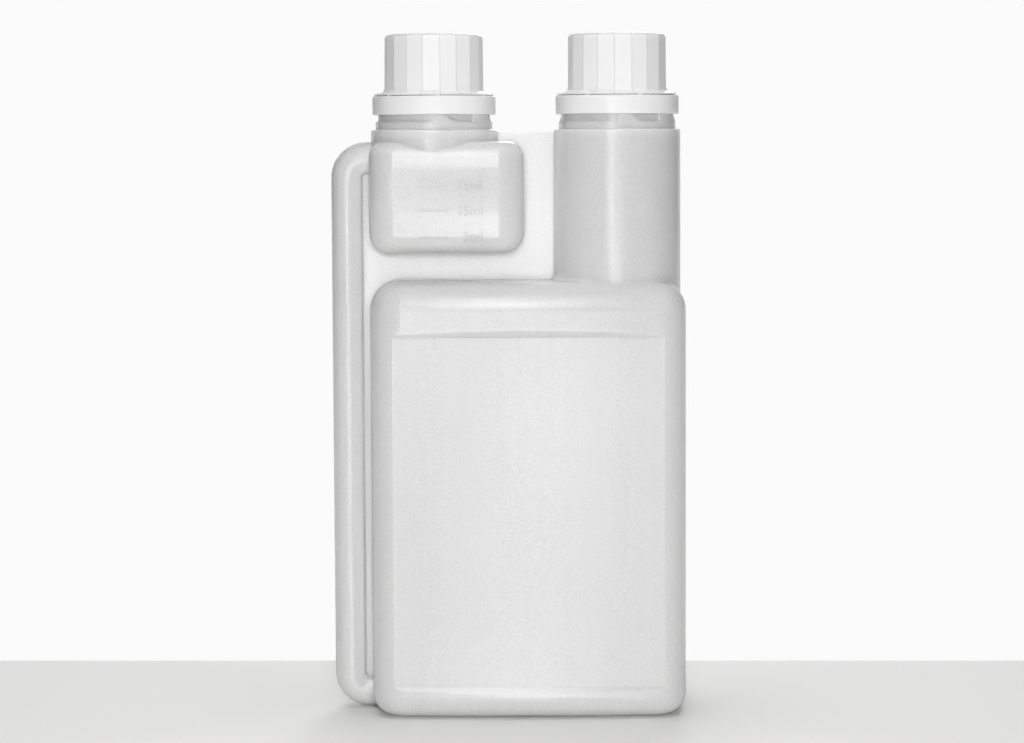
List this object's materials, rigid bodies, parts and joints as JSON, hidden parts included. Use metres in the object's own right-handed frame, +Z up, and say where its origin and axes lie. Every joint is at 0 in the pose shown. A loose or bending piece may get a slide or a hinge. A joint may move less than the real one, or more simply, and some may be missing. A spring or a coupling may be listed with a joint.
{
  "type": "twin-neck dosing bottle",
  "caption": "Flat translucent bottle with a small measuring chamber beside its main neck, filled through a side siphon channel, with screw caps and tamper rings.",
  "frame": {"origin": "on the standing plane, under the middle of the whole outline", "axes": "+Z up, +X from the dosing neck towards the main neck, -Y towards the viewer's front"},
  "size_m": [0.1014, 0.048, 0.1948],
  "materials": {
    "natural_polyethylene": "blow-moulded natural high-density polyethylene, milky and translucent, satin with a fine grain",
    "white_polypropylene": "injection-moulded white polypropylene, semi-gloss",
    "liner_foam": "foamed white polyethylene sheet, matt"
  },
  "bodies": {
    "bottle": {"bottle_body": "natural_polyethylene", "main_tamper_ring": "white_polypropylene", "dosing_tamper_ring": "white_polypropylene"},
    "main_seal": {"main_cap_liner": "liner_foam"},
    "main_closure": {"main_cap": "white_polypropylene"},
    "dosing_seal": {"dosing_cap_liner": "liner_foam"},
    "dosing_closure": {"dosing_cap": "white_polypropylene"}
  },
  "joints": [
    {"name": "main_cap_lift", "type": "slide", "parent": "bottle", "child": "main_seal", "axis": [0, 0, 1], "range_m": [0, 0.016]},
    {"name": "main_cap_turn", "type": "hinge", "parent": "main_seal", "child": "main_closure", "pos_m": [0.03175, 0, 0.1862], "axis": [0, 0, 1], "range_deg": [0, 1800]},
    {"name": "dosing_cap_lift", "type": "slide", "parent": "bottle", "child": "dosing_seal", "axis": [0, 0, 1], "range_m": [0, 0.016]},
    {"name": "dosing_cap_turn", "type": "hinge", "parent": "dosing_seal", "child": "dosing_closure", "pos_m": [-0.02095, 0, 0.1862], "axis": [0, 0, 1], "range_deg": [0, 1800]}
  ],
  "couplings": [
    {"joint": "main_cap_lift", "follows": "main_cap_turn", "m_per_rad": 0.0005093},
    {"joint": "dosing_cap_lift", "follows": "dosing_cap_turn", "m_per_rad": 0.0005093}
  ]
}
